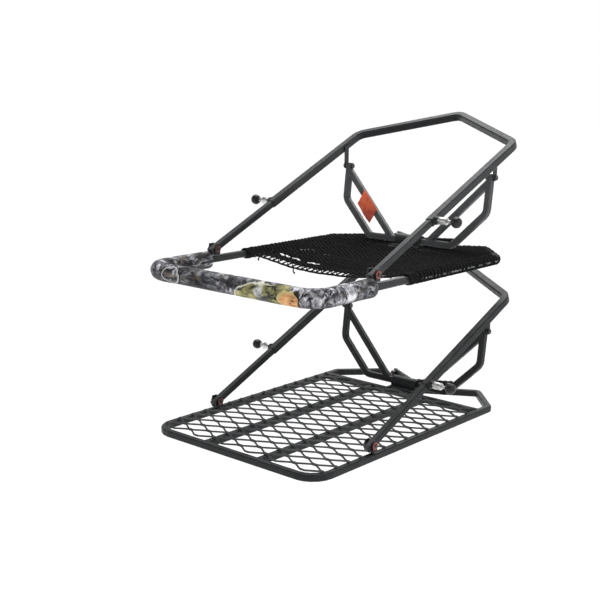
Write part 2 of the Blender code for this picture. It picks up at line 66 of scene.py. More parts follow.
# ---- sizes shared with the stand ----
SEAT_Z = 0.375
TUBE = 0.0159
HALF_WIDTH = 0.246
FRONT_Y = -0.659
FRONT_CORNER = 0.048            # bend radii of the rails
REAR_CORNER = 0.0125
REAR_BEND_Y = -0.010
HORN = (0.156, 0.081)           # rear corner beside the tree
NOTCH_SLOPE = math.tan(math.radians(30))
CROSSBAR_Y = -0.054
SADDLE_HALF = 0.038
BLADE_X = 0.096
ARM_X = 0.240
ARM_ANGLE = math.radians(24.5)
ARM_FRONT = -0.0145             # front end of the inner arm, along it from the pivot
PIVOT = (-0.469, 0.0257)        # arm pivot above the rails: y, z
PIN_AT = 0.2246                 # spring pin, along the arm from the pivot
KNOB_AT = 0.303                 # middle of the ball knob, from the middle plane
KNOB_R = 0.0125
PIN_R = 0.0030
BOLT_R = 0.0030
BRACE_FACE_X = 0.2095           # inner face of the brace's top
SLAT_X = 0.082
SECTIONS = (("platform", 0.0), ("seat", SEAT_Z))
SIDES = (("left", -1), ("right", 1))
CORNERS = [(*section, *side) for section in SECTIONS for side in SIDES]

# ---- deck of expanded metal ----
DECK_LONG = 0.0805
DECK_SHORT = 0.0405
BOND = 0.013
STRAND_WIDE = 0.0046
STRAND_THICK = 0.0018
STRAND_TILT = math.radians(33)

# ---- net seat ----
NET_FRONT_Y = -0.352
HEM_Y = -0.3645
NET_SAG = 0.021
CELL_X = 0.0170
CELL_Y = 0.0120
NET_CORD_R = 0.00135
SLACK_ROWS = (6, 7)             # rows with slipped knots, behind the left half of the hem
SLACK_X = -0.05
LACE_FRONT_Y = -0.338
LACE_PITCH = 0.0125
LACE_CORD_R = 0.0017
LACE_TOP = 0.0098               # the lacing lies this flat behind LACE_FLAT_Y,
LACE_FLAT_Y = -0.030            # where the folded brace comes down on it


# ------------------------------------------------------------------ materials

class Paint:
    """A procedural material under construction."""

    def __init__(self, name, rough=0.5, metal=0.0):
        self.mat = bpy.data.materials.new(name)
        self.mat.use_nodes = True
        self.tree = self.mat.node_tree
        self.shader = self.tree.nodes["Principled BSDF"]
        self.put("Roughness", rough)
        self.put("Metallic", metal)
        self.coords = self.tree.nodes.new("ShaderNodeTexCoord").outputs["Object"]

    def put(self, name, value):
        self.shader.inputs[name].default_value = value

    def node(self, kind, inputs=None, **settings):
        made = self.tree.nodes.new("ShaderNode" + kind)
        for key, value in settings.items():
            setattr(made, key, value)
        for key, value in (inputs or {}).items():
            if isinstance(value, bpy.types.NodeSocket):
                self.tree.links.new(value, made.inputs[key])
            else:
                made.inputs[key].default_value = value
        return made

    def mapped(self, scale, turn=(0.0, 0.0, 0.0), shift=(0.0, 0.0, 0.0), vector=None):
        return self.node("Mapping", {"Vector": vector or self.coords, "Scale": scale,
                                     "Rotation": turn, "Location": shift}).outputs[0]

    def spread(self, value, to_min, to_max, from_min=0.0, from_max=1.0):
        return self.node("MapRange", {"Value": value, "From Min": from_min, "From Max": from_max,
                                      "To Min": to_min, "To Max": to_max}).outputs[0]

    def height(self):
        return self.node("SeparateXYZ", {0: self.coords}).outputs["Z"]

    def noise(self, scale, detail=3.0, rough=0.5, vector=None, distort=0.0):
        return self.node("TexNoise", {"Vector": vector or self.coords, "Scale": scale,
                                      "Detail": detail, "Roughness": rough,
                                      "Distortion": distort}).outputs["Fac"]

    def ramp(self, fac, stops):
        made = self.node("ValToRGB", {"Fac": fac})
        ramp = made.color_ramp
        while len(ramp.elements) < len(stops):
            ramp.elements.new(0.5)
        for element, (place, color) in zip(ramp.elements, stops):
            element.position = place
            element.color = (*color, 1.0) if len(color) == 3 else color
        return made.outputs["Color"]

    def mask(self, fac, start, end, top=1.0):
        return self.ramp(fac, [(start, grey(0.0)), (end, grey(top))])

    def math(self, operation, a, b=0.0, c=0.0, clamp=False):
        made = self.node("Math", {0: a, 1: b, 2: c}, operation=operation)
        made.use_clamp = clamp
        return made.outputs[0]

    def mix(self, fac, a, b, blend="MIX"):
        made = self.node("Mix", {0: fac}, data_type="RGBA", blend_type=blend)
        for index, value in ((6, a), (7, b)):
            if isinstance(value, bpy.types.NodeSocket):
                self.tree.links.new(value, made.inputs[index])
            else:
                made.inputs[index].default_value = (*value, 1.0)
        return made.outputs[2]

    def link(self, socket, name):
        self.tree.links.new(socket, self.shader.inputs[name])

    def bump(self, height, strength, distance, normal=None):
        inputs = {"Height": height, "Strength": strength, "Distance": distance}
        if normal is not None:
            inputs["Normal"] = normal
        made = self.node("Bump", inputs)
        self.link(made.outputs[0], "Normal")
        return made.outputs[0]


def grey(value):
    return (value, value, value)


def coat_material(name, dark, light, edge_wear_and_highlight, edge_radius=0.0016, shine=0.32):
    """Satin powder coat: fine orange peel, faint mottling, and paler edges that are partly rubbed
    wear, partly painted highlight.
    """
    paint = Paint(name, metal=0.0)
    mottle = paint.noise(14.0, 6.0, 0.62)
    color = paint.ramp(mottle, [(0.32, dark), (0.72, light)])
    round_edge = paint.node("Bevel", {"Radius": edge_radius}, samples=4)
    surface = paint.node("NewGeometry")
    turn = paint.node("VectorMath", {0: round_edge.outputs[0], 1: surface.outputs["Normal"]},
                      operation="DOT_PRODUCT").outputs["Value"]
    # Painted highlight and wear: this mask lightens every edge with the pale colour, broken up by
    # patchy noise.
    edge = paint.math("MULTIPLY", paint.math("SUBTRACT", 1.0, turn), 9.0, clamp=True)
    patchy = paint.ramp(paint.noise(70.0, 5.0, 0.7), [(0.42, grey(0.15)), (0.66, grey(1.0))])
    rubbed_and_highlit_edges = paint.math("MULTIPLY", edge, patchy)
    paint.link(paint.mix(rubbed_and_highlit_edges, color, edge_wear_and_highlight), "Base Color")
    scuffs = paint.noise(1.0, 4.0, 0.6, paint.mapped((90.0, 18.0, 90.0)))
    paint.link(paint.spread(scuffs, 0.30, 0.50, 0.3, 0.75), "Roughness")
    paint.put("Specular IOR Level", shine)
    peel = paint.noise(1500.0, 2.0, 0.5)
    paint.bump(peel, 0.35, 0.00012, round_edge.outputs[0])
    return paint.mat


def plated_material():
    """Bright zinc plate with turning marks and dull patches."""
    paint = Paint("zinc_plate", rough=0.25, metal=1.0)
    dull = paint.noise(90.0, 3.0, 0.5)
    paint.link(paint.ramp(dull, [(0.3, (0.46, 0.46, 0.45)), (0.7, (0.70, 0.70, 0.68))]),
               "Base Color")
    paint.link(paint.spread(dull, 0.24, 0.40), "Roughness")
    rings = paint.noise(1.0, 2.0, 0.5, paint.mapped((5200.0, 20.0, 20.0)))
    paint.bump(rings, 0.2, 0.00008)
    return paint.mat


def blackened_material():
    """Oil-blackened bolt steel, brown where it is rubbed."""
    paint = Paint("blackened_steel", rough=0.42, metal=0.85)
    patch = paint.noise(260.0, 5.0, 0.6)
    paint.link(paint.ramp(patch, [(0.35, (0.035, 0.034, 0.036)), (0.72, (0.16, 0.14, 0.125))]),
               "Base Color")
    paint.bump(paint.noise(1800.0, 2.0), 0.25, 0.0001)
    return paint.mat


def knob_material():
    """Moulded black phenolic: glossy, with handling marks."""
    paint = Paint("black_knob", rough=0.3)
    marks = paint.noise(180.0, 6.0, 0.7)
    paint.link(paint.ramp(marks, [(0.3, (0.007, 0.007, 0.008)), (0.8, (0.022, 0.022, 0.023))]),
               "Base Color")
    paint.link(paint.spread(marks, 0.24, 0.42), "Roughness")
    paint.put("Specular IOR Level", 0.35)
    paint.bump(paint.noise(500.0, 2.0), 0.1, 0.0001)
    return paint.mat


def washer_material(name, dark, light):
    """Red nylon, chalky where it is dry."""
    paint = Paint(name, rough=0.5)
    chalk = paint.noise(320.0, 4.0, 0.6)
    paint.link(paint.ramp(chalk, [(0.3, dark), (0.75, light)]), "Base Color")
    paint.put("Subsurface Weight", 0.1)
    paint.put("Subsurface Radius", (0.002, 0.0008, 0.0006))
    paint.bump(chalk, 0.2, 0.0002)
    return paint.mat


def cord_material(name, dark, light, twist_scale=900.0, fray_and_tube_glint=False):
    """Twisted black cord with a fuzzy sheen; the lacing's copy also has pale flecks along the
    outside of the rails, a painted reflection of the shiny tube seen between the turns, and a
    frayed spot at the rear right bend."""
    paint = Paint(name, rough=0.85)
    fibre = paint.noise(420.0, 6.0, 0.75)
    dust = paint.noise(26.0, 4.0, 0.6)
    color = paint.ramp(fibre, [(0.3, dark), (0.8, light)])
    dusty = paint.mask(dust, 0.5, 0.85, 0.35)
    color = paint.mix(dusty, color, (0.020, 0.021, 0.020))
    if fray_and_tube_glint:
        # Painted reflection: pale flecks in a thin band along the rails stand for the shiny tube
        # between the turns; the frayed spot is real fraying.
        away = paint.math("ABSOLUTE", paint.math("SUBTRACT", paint.height(), SEAT_Z - 0.0030))
        band = paint.spread(away, 0.0, 1.0, 0.0026, 0.0008)
        glint_spots = paint.noise(1.0, 3.0, 0.6, paint.mapped((120.0, 105.0, 60.0)))
        tube_glints = paint.math("MULTIPLY", band, paint.mask(glint_spots, 0.50, 0.60))
        fray = blob(paint, (0.243, -0.004, SEAT_Z + 0.009), (0.012, 0.013, 0.007), 0.4,
                    paint.coords)
        frayed = paint.math("MULTIPLY", fray, paint.mask(fibre, 0.42, 0.62, 0.6))
        color = paint.mix(paint.math("MAXIMUM", tube_glints, frayed), color, (0.33, 0.34, 0.34))
    paint.link(color, "Base Color")
    twist = paint.node("TexWave", {"Vector": paint.coords, "Scale": twist_scale / 6.28,
                                   "Distortion": 1.2, "Detail": 2.0},
                       wave_type="BANDS", bands_direction="DIAGONAL").outputs["Fac"]
    paint.bump(twist, 0.55, 0.0004)
    paint.put("Specular IOR Level", 0.12)
    return paint.mat


def label_material():
    """Orange-red coated cloth: fine weave, faded and creased, darker toward its lower edge."""
    paint = Paint("orange_label", rough=0.45)
    fade = paint.noise(60.0, 4.0, 0.6)
    cloth = paint.ramp(fade, [(0.3, (0.96, 0.085, 0.018)), (0.75, (1.0, 0.230, 0.065))])
    grime = paint.noise(1.0, 4.0, 0.65, paint.mapped((90.0, 90.0, 60.0)))
    soiled = paint.mask(grime, 0.46, 0.60, 0.55)
    cloth = paint.mix(soiled, cloth, (0.42, 0.040, 0.016))
    low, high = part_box("blank_label")
    depth = paint.spread(paint.height(), 0.0, 1.0, high.z - 0.022, low.z + 0.004)
    paint.link(paint.mix(paint.math("MULTIPLY", depth, 0.75), cloth, (0.36, 0.034, 0.020)),
               "Base Color")
    weave_a = paint.node("TexWave", {"Vector": paint.coords, "Scale": 420.0},
                         bands_direction="X").outputs["Fac"]
    weave_b = paint.node("TexWave", {"Vector": paint.coords, "Scale": 420.0},
                         bands_direction="Z").outputs["Fac"]
    paint.bump(paint.math("ADD", weave_a, weave_b), 0.25, 0.00025)
    return paint.mat


def blob(paint, center, size, softness, vector):
    """1 inside an ellipsoid, 0 outside."""
    away = paint.node("VectorMath", {0: vector, 1: center}, operation="SUBTRACT").outputs[0]
    scaled = paint.node("VectorMath", {0: away, 1: size}, operation="DIVIDE").outputs[0]
    reach = paint.node("VectorMath", {0: scaled}, operation="LENGTH").outputs["Value"]
    return paint.spread(reach, 0.0, 1.0, 1.0 + softness, 1.0 - softness)


def shell(paint, center, size, thick, vector):
    """1 on the skin of an ellipsoid, 0 off it: an arc where it crosses the sleeve."""
    inside = blob(paint, center, size, 0.015, vector)
    core = blob(paint, center, [s * (1 - thick) for s in size], 0.02, vector)
    return paint.math("SUBTRACT", inside, core, clamp=True)


def camo_material():
    """Printed bark camouflage: streaked grey bark along the bars, pale birch with dark rings by
    the right corner, pale limb arcs, and one leafy patch in olive and orange."""
    paint = Paint("bark_camouflage", rough=0.62)
    warp = paint.node("TexNoise", {"Vector": paint.coords, "Scale": 34.0, "Detail": 4.0})
    shift = paint.node("VectorMath", {0: warp.outputs["Color"], 1: (0.5, 0.5, 0.5)},
                       operation="SUBTRACT").outputs[0]
    bent = paint.node("VectorMath", {0: shift, 1: (0.022, 0.022, 0.022), 2: paint.coords},
                      operation="MULTIPLY_ADD").outputs[0]
    streak_map = paint.mapped((26.0, 34.0, 150.0), (0.0, 0.12, 0.1), vector=bent)
    streak = paint.noise(1.0, 10.0, 0.74, streak_map, 0.5)
    bark = paint.ramp(streak, [(0.40, (0.006, 0.006, 0.008)), (0.46, (0.035, 0.036, 0.045)),
                               (0.51, (0.140, 0.145, 0.160)), (0.57, (0.42, 0.425, 0.45)),
                               (0.65, (0.84, 0.85, 0.87))])
    birch_map = paint.mapped((95.0, 60.0, 42.0), (0.3, 0.5, 0.0), vector=bent)
    rings = paint.noise(1.0, 7.0, 0.66, birch_map, 0.9)
    birch = paint.ramp(rings, [(0.40, (0.006, 0.006, 0.008)), (0.45, (0.080, 0.080, 0.100)),
                               (0.52, (0.38, 0.38, 0.42)), (0.61, (0.90, 0.90, 0.94))])
    patch_map = paint.mapped((13.0, 17.0, 24.0), shift=(0.35, 0.2, 0.6), vector=bent)
    patch = paint.noise(1.0, 3.0, 0.5, patch_map)
    pale_end = blob(paint, (0.262, -0.660, SEAT_Z + 0.004), (0.098, 0.120, 0.10), 0.12, bent)
    spots = paint.mask(patch, 0.54, 0.58)
    is_birch = paint.math("MAXIMUM", spots, pale_end)
    color = paint.mix(is_birch, bark, birch)
    dusk = blob(paint, (-0.070, FRONT_Y - 0.016, SEAT_Z + 0.004), (0.100, 0.018, 0.030), 0.25, bent)
    dusk = paint.math("MULTIPLY", dusk, 0.40)
    color = paint.mix(dusk, color, (0.030, 0.031, 0.042))
    tone_map = paint.mapped((34.0, 34.0, 48.0), shift=(1.3, 0.4, 2.2), vector=bent)
    tone = paint.noise(1.0, 2.5, 0.55, tone_map)
    gain = paint.ramp(tone, [(0.42, grey(0.24)), (0.50, grey(0.60)), (0.58, grey(1.0))])
    open_tone = paint.math("MULTIPLY_ADD", pale_end, -0.35, 1.0)
    color = paint.mix(open_tone, color, gain, "MULTIPLY")
    moss_map = paint.mapped((30.0, 30.0, 60.0), shift=(4.0, 1.0, 2.0), vector=bent)
    moss = paint.noise(1.0, 5.0, 0.65, moss_map)
    brown = paint.mask(moss, 0.56, 0.64, 0.55)
    color = paint.mix(brown, color, (0.19, 0.155, 0.105))
    # Painted shade: the pad is darkened along its underside, where it is in shadow.
    shade = paint.spread(paint.height(), 0.0, 0.88, SEAT_Z - 0.007, SEAT_Z - 0.019)
    color = paint.mix(shade, color, (0.018, 0.018, 0.021))
    bald = blob(paint, (-0.238, -0.668, SEAT_Z + 0.004), (0.024, 0.026, 0.015), 0.3, bent)
    color = paint.mix(paint.math("MULTIPLY", bald, 0.8), color, birch)
    for center, size, thick in (((-0.158, -0.690, SEAT_Z + 0.001), (0.030, 0.034, 0.022), 0.13),
                                ((0.205, -0.685, SEAT_Z + 0.016), (0.022, 0.030, 0.022), 0.14)):
        color = paint.mix(shell(paint, center, size, thick, bent), color, (0.50, 0.50, 0.50))
        dark = shell(paint, center, [s * 1.12 for s in size], 0.10, bent)
        color = paint.mix(paint.math("MULTIPLY", dark, 0.85), color, (0.010, 0.010, 0.012))
    color = leaf_patch(paint, color, bent)
    paint.link(color, "Base Color")
    fibre = paint.noise(900.0, 3.0, 0.6)
    paint.link(paint.spread(fibre, 0.48, 0.72), "Roughness")
    paint.put("Specular IOR Level", 0.22)
    raised = paint.math("MULTIPLY_ADD", streak, 0.5, paint.math("MULTIPLY", fibre, 0.4))
    paint.bump(raised, 0.3, 0.0005)
    return paint.mat


def leaf_patch(paint, color, bent):
    """Olive leaves with a pale rim, an ashen gap and a dark hollow, and an orange leaf at right."""
    def spot(x, z, size, softness):
        return blob(paint, (x, FRONT_Y - 0.014, SEAT_Z + z), size, softness, bent)

    olive = spot(0.1250, -0.030, (0.0910, 0.050, 0.0490), 0.02)
    rim = spot(0.1236, -0.0295, (0.0933, 0.052, 0.0502), 0.012)
    crown = spot(0.166, 0.008, (0.030, 0.046, 0.016), 0.08)
    vein_map = paint.mapped((52.0, 50.0, 120.0), (0.0, 0.5, 0.2), vector=bent)
    vein = paint.noise(1.0, 7.0, 0.68, vein_map, 0.4)
    green = paint.ramp(vein, [(0.36, (0.012, 0.012, 0.012)), (0.44, (0.090, 0.092, 0.050)),
                              (0.52, (0.27, 0.265, 0.105)), (0.62, (0.46, 0.43, 0.20)),
                              (0.74, (0.66, 0.64, 0.52))])
    gap = spot(0.110, 0.001, (0.012, 0.040, 0.016), 0.25)
    hollow = spot(0.124, -0.014, (0.022, 0.040, 0.008), 0.35)
    ashen = paint.ramp(vein, [(0.34, (0.10, 0.10, 0.11)), (0.46, (0.42, 0.42, 0.42)),
                              (0.60, (0.74, 0.74, 0.72))])
    amber = paint.ramp(vein, [(0.35, (0.055, 0.016, 0.012)), (0.43, (0.50, 0.22, 0.080)),
                              (0.60, (0.90, 0.52, 0.24))])
    orange = spot(0.192, -0.008, (0.023, 0.042, 0.017), 0.05)
    edge = spot(0.189, -0.006, (0.026, 0.042, 0.021), 0.05)
    dark = spot(0.209, -0.002, (0.010, 0.040, 0.022), 0.12)
    color = paint.mix(rim, color, (0.74, 0.72, 0.64))
    color = paint.mix(paint.math("MAXIMUM", olive, crown), color, green)
    color = paint.mix(gap, color, ashen)
    color = paint.mix(paint.math("MULTIPLY", hollow, 0.8), color, (0.050, 0.050, 0.062))
    color = paint.mix(dark, color, (0.030, 0.016, 0.014))
    color = paint.mix(edge, color, (0.62, 0.50, 0.22))
    return paint.mix(orange, color, amber)


# ------------------------------------------------------------------ mesh helpers

def wave(x, y, z):
    """Smooth noise at a point, the same at each run."""
    return noise.noise(Vector((x, y, z)))


def add_object(name, data):
    obj = bpy.data.objects.new(name, data)
    bpy.context.scene.collection.objects.link(obj)
    return obj


def mesh_from(bm, name):
    bmesh.ops.recalc_face_normals(bm, faces=bm.faces)
    mesh = bpy.data.meshes.new(name)
    bm.to_mesh(mesh)
    bm.free()
    return mesh


def build(name, bm, material, body, smooth=50):
    """Turn a bmesh into a painted object that rides on a body."""
    mesh = mesh_from(bm, name)
    if smooth:
        mesh.shade_smooth()
        mesh.set_sharp_from_angle(angle=math.radians(smooth))
    mesh.materials.append(material)
    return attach(add_object(name, mesh), body)


def spin(name, profile, place, material, body, sides=32, smooth=35):
    """Turned piece from (radius, distance) points, about the X axis of its place matrix."""
    bm = bmesh.new()
    rings = []
    for radius, reach in profile:
        if radius < 1e-7:
            rings.append([bm.verts.new(place @ Vector((reach, 0, 0)))])
            continue
        rings.append([bm.verts.new(place @ Vector((reach, radius * math.cos(a),
                                                   radius * math.sin(a))))
                      for a in [math.tau * k / sides for k in range(sides)]])
    for first, second in zip(rings, rings[1:]):
        bridge(bm, first, second)
    if len(rings[0]) > 1 and len(rings[-1]) > 1:
        bridge(bm, rings[-1], rings[0])
    return build(name, bm, material, body, smooth)


def bridge(bm, first, second):
    """Faces between two rings, or between a ring and a point."""
    count = max(len(first), len(second))
    for k in range(count):
        a, b = first[k % len(first)], first[(k + 1) % len(first)]
        c, d = second[(k + 1) % len(second)], second[k % len(second)]
        corners = []
        for vert in (a, b, c, d):
            if vert not in corners:
                corners.append(vert)
        if len(corners) > 2:
            bm.faces.new(corners)


def sweep(bm, path, radii, sides=6, closed_ends=True, wobble=None):
    """A round tube along 3-D points, with one radius for each point."""
    count = len(path)
    tangent = [(path[min(i + 1, count - 1)] - path[max(i - 1, 0)]).normalized()
               for i in range(count)]
    side = tangent[0].orthogonal().normalized()
    rings = []
    for i, (point, radius) in enumerate(zip(path, radii)):
        side = (side - tangent[i] * side.dot(tangent[i])).normalized()
        other = tangent[i].cross(side)
        ring = []
        for k in range(sides):
            a = math.tau * k / sides
            reach = radius * (wobble(i, k) if wobble else 1.0)
            ring.append(bm.verts.new(point + (side * math.cos(a) + other * math.sin(a)) * reach))
        rings.append(ring)
    for first, second in zip(rings, rings[1:]):
        bridge(bm, first, second)
    if closed_ends:
        bm.faces.new(list(reversed(rings[0])))
        bm.faces.new(rings[-1])
    return rings


def bend_path(corners, step=0.004, arc_steps=8):
    """Evenly spaced points of a flat path whose corners (x, y, radius) are rounded."""
    points = []
    for i, (x, y, radius) in enumerate(corners):
        here = Vector((x, y))
        if radius == 0:
            points.append(here)
            continue
        before = (Vector(corners[i - 1][:2]) - here).normalized()
        after = (Vector(corners[i + 1][:2]) - here).normalized()
        half = before.angle(after) / 2
        center = here + (before + after).normalized() * (radius / math.sin(half))
        start = here + before * (radius / math.tan(half)) - center
        sweep_angle = math.pi - 2 * half
        if before.x * after.y - before.y * after.x > 0:
            sweep_angle = -sweep_angle
        for k in range(arc_steps + 1):
            turned = start.copy()
            turned.rotate(Matrix.Rotation(sweep_angle * k / arc_steps, 2))
            points.append(center + turned)
    even = [points[0]]
    for a, b in zip(points, points[1:]):
        pieces = max(1, round((b - a).length / step))
        even += [a.lerp(b, (k + 1) / pieces) for k in range(pieces)]
    return even


def repaint(node, material, smooth=40):
    """Give a CAD node its finish and its smooth bends."""
    obj = frame["nodes"][node]
    obj.data.materials.clear()
    obj.data.materials.append(material)
    obj.data.shade_smooth()
    obj.data.set_sharp_from_angle(angle=math.radians(smooth))


# ------------------------------------------------------------------ deck

def rail_reach(y):
    """How far to each side the deck reaches at y, round the front corners too."""
    half = HALF_WIDTH + 0.0005
    into = FRONT_Y + FRONT_CORNER - y
    if into <= 0:
        return half
    return half - FRONT_CORNER + math.sqrt(max(0.0, FRONT_CORNER ** 2 - into ** 2))


def strand_points(row, front, phase):
    """Zigzag of one strand, from the left rail to the right one."""
    low = front + row * DECK_SHORT / 2 + STRAND_WIDE * 0.40
    high = front + (row + 1) * DECK_SHORT / 2 - STRAND_WIDE * 0.40
    points = []
    for k in range(-8, 9):
        x = k * DECK_LONG / 2
        y = low if (k + phase) % 2 else high
        points.append(Vector((x - BOND / 2, y)))
        points.append(Vector((x + BOND / 2, y)))
    return points


def clip_strand(points):
    """The stretch of a strand between the rails."""
    kept = []
    for a, b in zip(points, points[1:]):
        steps = 10
        for k in range(steps):
            p = a.lerp(b, k / steps)
            if abs(p.x) <= rail_reach(p.y):
                if k == 0 or not kept:
                    kept.append(p)
                last = p
        if kept and abs(b.x) > rail_reach(b.y):
            kept.append(last)
            break
    return kept


def make_deck(material):
    """Raised expanded metal: tilted strands that meet in short bonds."""
    box_low, box_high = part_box("platform_deck")
    rows = round((box_high.y - box_low.y) / (DECK_SHORT / 2)) - 1
    front = box_low.y + ((box_high.y - box_low.y) - rows * DECK_SHORT / 2) / 2
    mid = (box_low.z + box_high.z) / 2 + 0.0006
    lean = Vector((0.0, math.cos(STRAND_TILT), math.sin(STRAND_TILT)))
    up = Vector((0.0, -math.sin(STRAND_TILT), math.cos(STRAND_TILT)))
    corners = [(-1, -1), (1, -1), (1, 1), (-1, 1)]
    bm = bmesh.new()
    for row in range(rows):
        points = clip_strand(strand_points(row, front, row % 2))
        if len(points) < 2:
            continue
        rings = []
        for p in points:
            center = Vector((p.x, p.y, mid))
            rings.append([bm.verts.new(center + lean * (STRAND_WIDE / 2 * a)
                                       + up * (STRAND_THICK / 2 * b)) for a, b in corners])
        for first, second in zip(rings, rings[1:]):
            bridge(bm, first, second)
        bm.faces.new(list(reversed(rings[0])))
        bm.faces.new(rings[-1])
    deck = build("deck_expanded_metal", bm, material, "platform", smooth=20)
    round_off = deck.modifiers.new("edges", "BEVEL")
    round_off.width = 0.0003
    round_off.segments = 1
    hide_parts("platform_deck")


# ------------------------------------------------------------------ net seat

def net_rear(x):
    """Rear edge of the net at x: the hinge saddle, the notch, then the bent corner."""
    x = abs(x)
    if x < SADDLE_HALF + 0.003:
        return CROSSBAR_Y - 0.004
    if x < HORN[0]:
        return HORN[1] - (HORN[0] - x) * NOTCH_SLOPE - 0.002
    return HORN[1] - (x - HORN[0]) * (HORN[1] - REAR_BEND_Y) / (HALF_WIDTH - HORN[0]) - 0.002


def net_height(x, y):
    """The net lies on its tubes and sags between them, most of all near its front hem."""
    across = max(0.0, 1.0 - (abs(x) / (HALF_WIDTH - 0.004)) ** 2)
    along = (y - NET_FRONT_Y) / (CROSSBAR_Y - NET_FRONT_Y)
    hang = across ** 1.15 * (1.0 - max(0.0, min(1.0, along)) ** 2.2) ** 0.8
    ripple = wave(x * 18.0, y * 18.0, 3.1) * 0.0016 * min(1.0, across * 3)
    return SEAT_Z + TUBE / 2 + 0.0012 - NET_SAG * hang + ripple


def net_point(x, y):
    """A point of the net; past the rail's top it bends down round the tube."""
    top_x = HALF_WIDTH - 0.002
    over = abs(x) - top_x
    if over <= 0:
        return Vector((x, y, net_height(x, y)))
    r = TUBE / 2 + 0.0022
    a = min(over / r, 2.6)
    sign = 1 if x > 0 else -1
    return Vector((sign * (top_x + r * math.sin(a)), y, SEAT_Z - 0.001 + r * math.cos(a)))


def make_net(material):
    """Knotted diamond net: zigzag cords whose turns meet in knots."""
    bm = bmesh.new()
    columns = int((HALF_WIDTH + 0.016) / (CELL_X / 2))
    rows = int((HORN[1] - NET_FRONT_Y) / (CELL_Y / 2)) + 1
    for row in range(rows):
        base = NET_FRONT_Y + (row + 0.5) * CELL_Y / 2
        run = []
        for k in range(-columns, columns + 1):
            x = k * CELL_X / 2
            y = base + (CELL_Y / 4 if (k + row) % 2 else -CELL_Y / 4)
            y += wave(x * 55.0, y * 55.0, 9.0) * 0.0034
            x += wave(x * 48.0, y * 48.0, 4.0) * 0.0030
            slack = row in SLACK_ROWS and x < SLACK_X and (
                wave(x * 70.0, row * 0.4, 6.0) > 0.20)
            inside = y <= net_rear(x) and not slack
            if inside:
                run.append((x, y, True))
                run.append((x + CELL_X / 4, base, False))
            if not inside or k == columns:
                cord_run(bm, run[:-1])
                run = []
    net = build("seat_net_mesh", bm, material, "seat", smooth=60)
    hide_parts("seat_net")
    return net


def cord_run(bm, run):
    """One zigzag cord over (x, y, is it a knot) points."""
    if len(run) < 2:
        return
    path = [net_point(x, y) for x, y, _ in run]
    radii = [NET_CORD_R * (1.35 if knot else 1.0) for _, _, knot in run]
    sweep(bm, path, radii, sides=5)


def edge_line(step=0.003):
    """The tube centre line that the net is laced to, on the right side."""
    end_x = BLADE_X + 0.006
    corners = [(HALF_WIDTH, LACE_FRONT_Y, 0), (HALF_WIDTH, REAR_BEND_Y, REAR_CORNER),
               (*HORN, REAR_CORNER),
               (end_x, HORN[1] - (HORN[0] - BLADE_X - 0.006) * NOTCH_SLOPE, 0)]
    return bend_path(corners, step)


def make_lacing(material):
    """Net edge rolled round the tubes, and the cord wound over it."""
    rolls = bmesh.new()
    cords = bmesh.new()
    for sign in (-1, 1):
        line = [Vector((sign * p.x, p.y, SEAT_Z)) for p in edge_line()]
        count = len(line)
        swell = []
        for i, p in enumerate(line):
            lump = wave(i * 0.9, sign * 3.0, 0.5) * 0.0007
            taper = min(1.0, 0.55 + 0.12 * min(i, count - 1 - i))
            swell.append((TUBE / 2 + 0.0030) * taper + lump)

        def lumpy(i, k, sign=sign):
            return 1.0 + 0.055 * wave(i * 0.8, k * 1.3, sign * 7.0)

        sweep(rolls, line, swell, sides=14, wobble=lumpy)
        wound = []
        length = 0.0
        angle = 0.0
        for i in range(count - 1):
            a, b = line[i], line[i + 1]
            gap = (b - a).length
            along = (b - a).normalized()
            out = along.cross(Vector((0, 0, 1)))
            parts = 3
            for k in range(parts):
                length += gap / parts
                pitch = LACE_PITCH * (1.0 + 0.25 * wave(length * 30, sign, 0.2))
                angle += math.tau * (gap / parts) / pitch
                r = TUBE / 2 + 0.0046 + 0.0006 * wave(length * 90, 1.0, sign)
                lift = r * math.sin(angle)
                if a.y > LACE_FLAT_Y:
                    lift = min(lift, LACE_TOP)
                wound.append(a.lerp(b, k / parts) + out * (r * math.cos(angle))
                             + Vector((0, 0, lift)))
        sweep(cords, wound, [LACE_CORD_R] * len(wound), sides=6)
    roll = build("seat_net_edge_roll", rolls, material, "seat", 60)
    lace = build("seat_net_lacing", cords, material, "seat", 60)
    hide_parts("seat_lacing_left", "seat_lacing_right")
    return roll, lace


